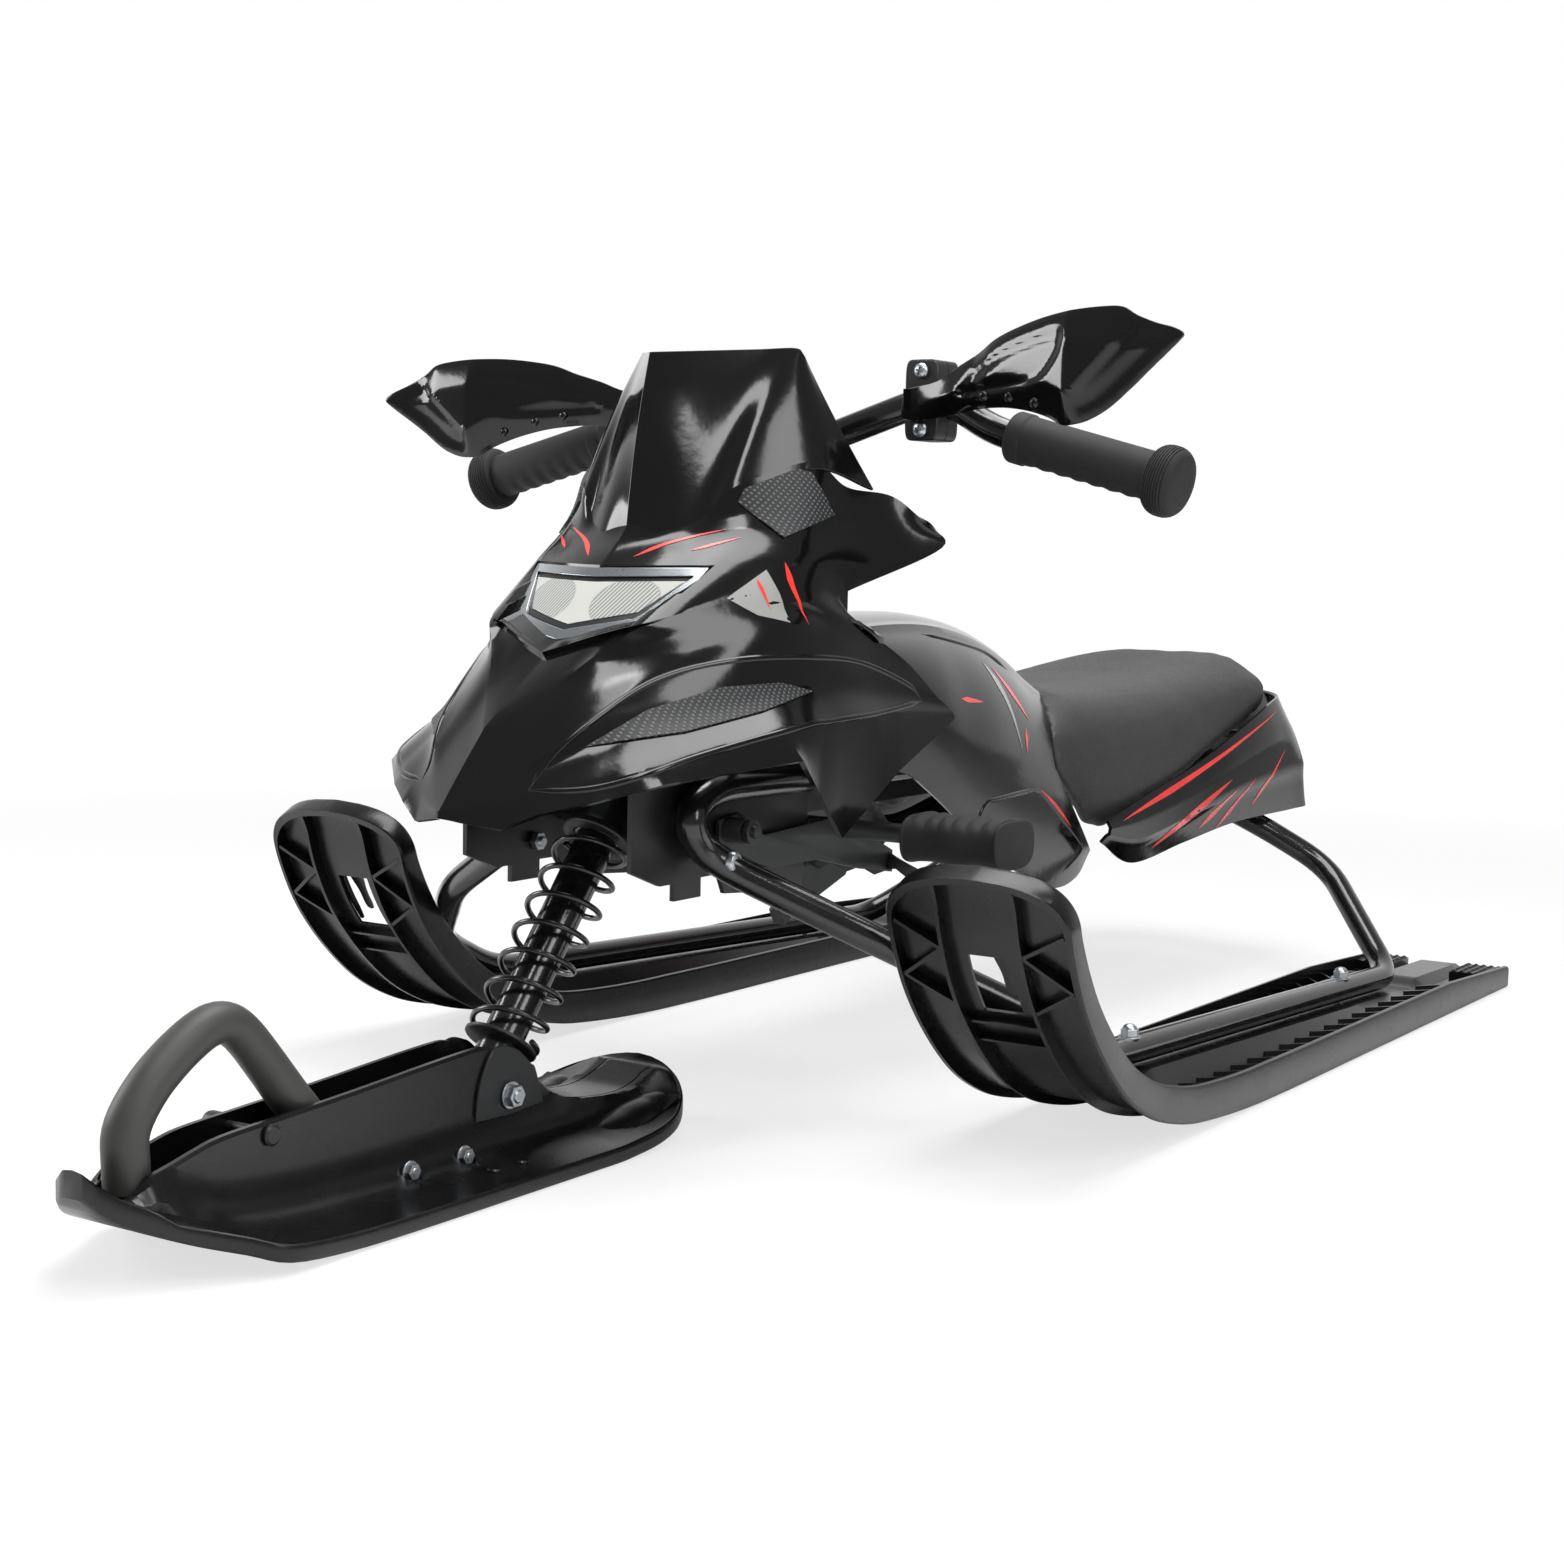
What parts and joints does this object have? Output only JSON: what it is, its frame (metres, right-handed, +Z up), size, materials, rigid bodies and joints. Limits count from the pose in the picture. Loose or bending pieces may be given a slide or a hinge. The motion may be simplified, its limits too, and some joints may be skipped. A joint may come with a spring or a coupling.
{
  "type": "steering sled",
  "caption": "Children's steering snow sled: sprung steered front ski, two rear skis on a bent tube frame, padded seat, handlebar and foot brake.",
  "frame": {"origin": "middle of the overall length and width, at the level of the ski soles", "axes": "+Y towards the tail, +X to the rider's left, +Z up"},
  "size_m": [0.586, 1.2395, 0.4768],
  "materials": {
    "frame_paint": "gloss black powder coat",
    "spring_paint": "gloss black",
    "gloss_panel": "gloss black with red slashes",
    "ski_plastic": "satin black",
    "black_plastic": "satin black",
    "lens_clear": "pale prismatic lens",
    "bright_trim": "bright silver",
    "mesh_insert": "perforated, dark grey with pale dots",
    "seat_cover": "matt charcoal",
    "grip_rubber": "matt black",
    "handle_rubber": "matt dark grey",
    "grey_steel": "grey coated sheet steel",
    "zinc_steel": "bright zinc"
  },
  "bodies": {
    "chassis": {"body_panel": "gloss_panel", "frame_tube_left": "frame_paint", "frame_tube_right": "frame_paint", "front_panel": "gloss_panel", "headlight_lens": "lens_clear", "headlight_trim": "bright_trim", "leg_bolt_left": "zinc_steel", "leg_bolt_right": "zinc_steel", "middle_frame": "frame_paint", "rear_ski_left": "ski_plastic", "rear_ski_right": "ski_plastic", "screen_mesh_left": "mesh_insert", "screen_mesh_right": "mesh_insert", "seat_base": "black_plastic", "seat_pad": "seat_cover", "side_mesh_left": "mesh_insert", "side_mesh_right": "mesh_insert", "ski_bolt_left_front": "zinc_steel", "ski_bolt_left_rear": "zinc_steel", "ski_bolt_right_front": "zinc_steel", "ski_bolt_right_rear": "zinc_steel", "tail_panel": "gloss_panel", "windscreen": "gloss_panel"},
    "steering": {"steering_tube": "frame_paint", "spring_seat_upper": "black_plastic", "handlebar": "frame_paint", "grip_left": "grip_rubber", "grip_right": "grip_rubber", "hand_guard_left": "gloss_panel", "hand_guard_right": "gloss_panel", "guard_clamp_left": "black_plastic", "guard_clamp_right": "black_plastic", "clamp_screw_left_lower": "zinc_steel", "clamp_screw_left_upper": "zinc_steel", "clamp_screw_right_lower": "zinc_steel", "clamp_screw_right_upper": "zinc_steel"},
    "fork": {"fork_tube": "frame_paint", "spring_seat_lower": "black_plastic", "coil_spring": "spring_paint"},
    "nose_ski": {"front_ski": "ski_plastic", "ski_plate_left": "ski_plastic", "ski_plate_right": "ski_plastic", "ski_bolt_nose_front": "zinc_steel", "ski_bolt_nose_rear": "zinc_steel", "channel_pin": "black_plastic", "pivot_bolt": "zinc_steel", "pull_handle": "handle_rubber"},
    "brake": {"foot_brake": "grey_steel", "pedal_left": "grip_rubber", "pedal_right": "grip_rubber"}
  },
  "joints": [
    {"name": "steering_turn", "type": "hinge", "parent": "chassis", "child": "steering", "pos_m": [0, -0.3381, 0.045], "axis": [0, 0.6252, 0.7804], "range_deg": [-30, 30]},
    {"name": "fork_slide", "type": "slide", "parent": "steering", "child": "fork", "axis": [0, 0.6252, 0.7804], "range_m": [0, 0.025], "stiffness_N_per_m": 8000, "springref_m": -0.007, "deforming": ["coil_spring"]},
    {"name": "ski_pitch", "type": "hinge", "parent": "fork", "child": "nose_ski", "pos_m": [0, -0.3367, 0.0403], "axis": [1, 0, 0], "range_deg": [-10, 10]},
    {"name": "brake_press", "type": "hinge", "parent": "chassis", "child": "brake", "pos_m": [0, -0.1993, 0.177], "axis": [-1, 0, 0], "range_deg": [0, 42], "stiffness_Nm_per_rad": 3, "springref_deg": -20.05}
  ]
}
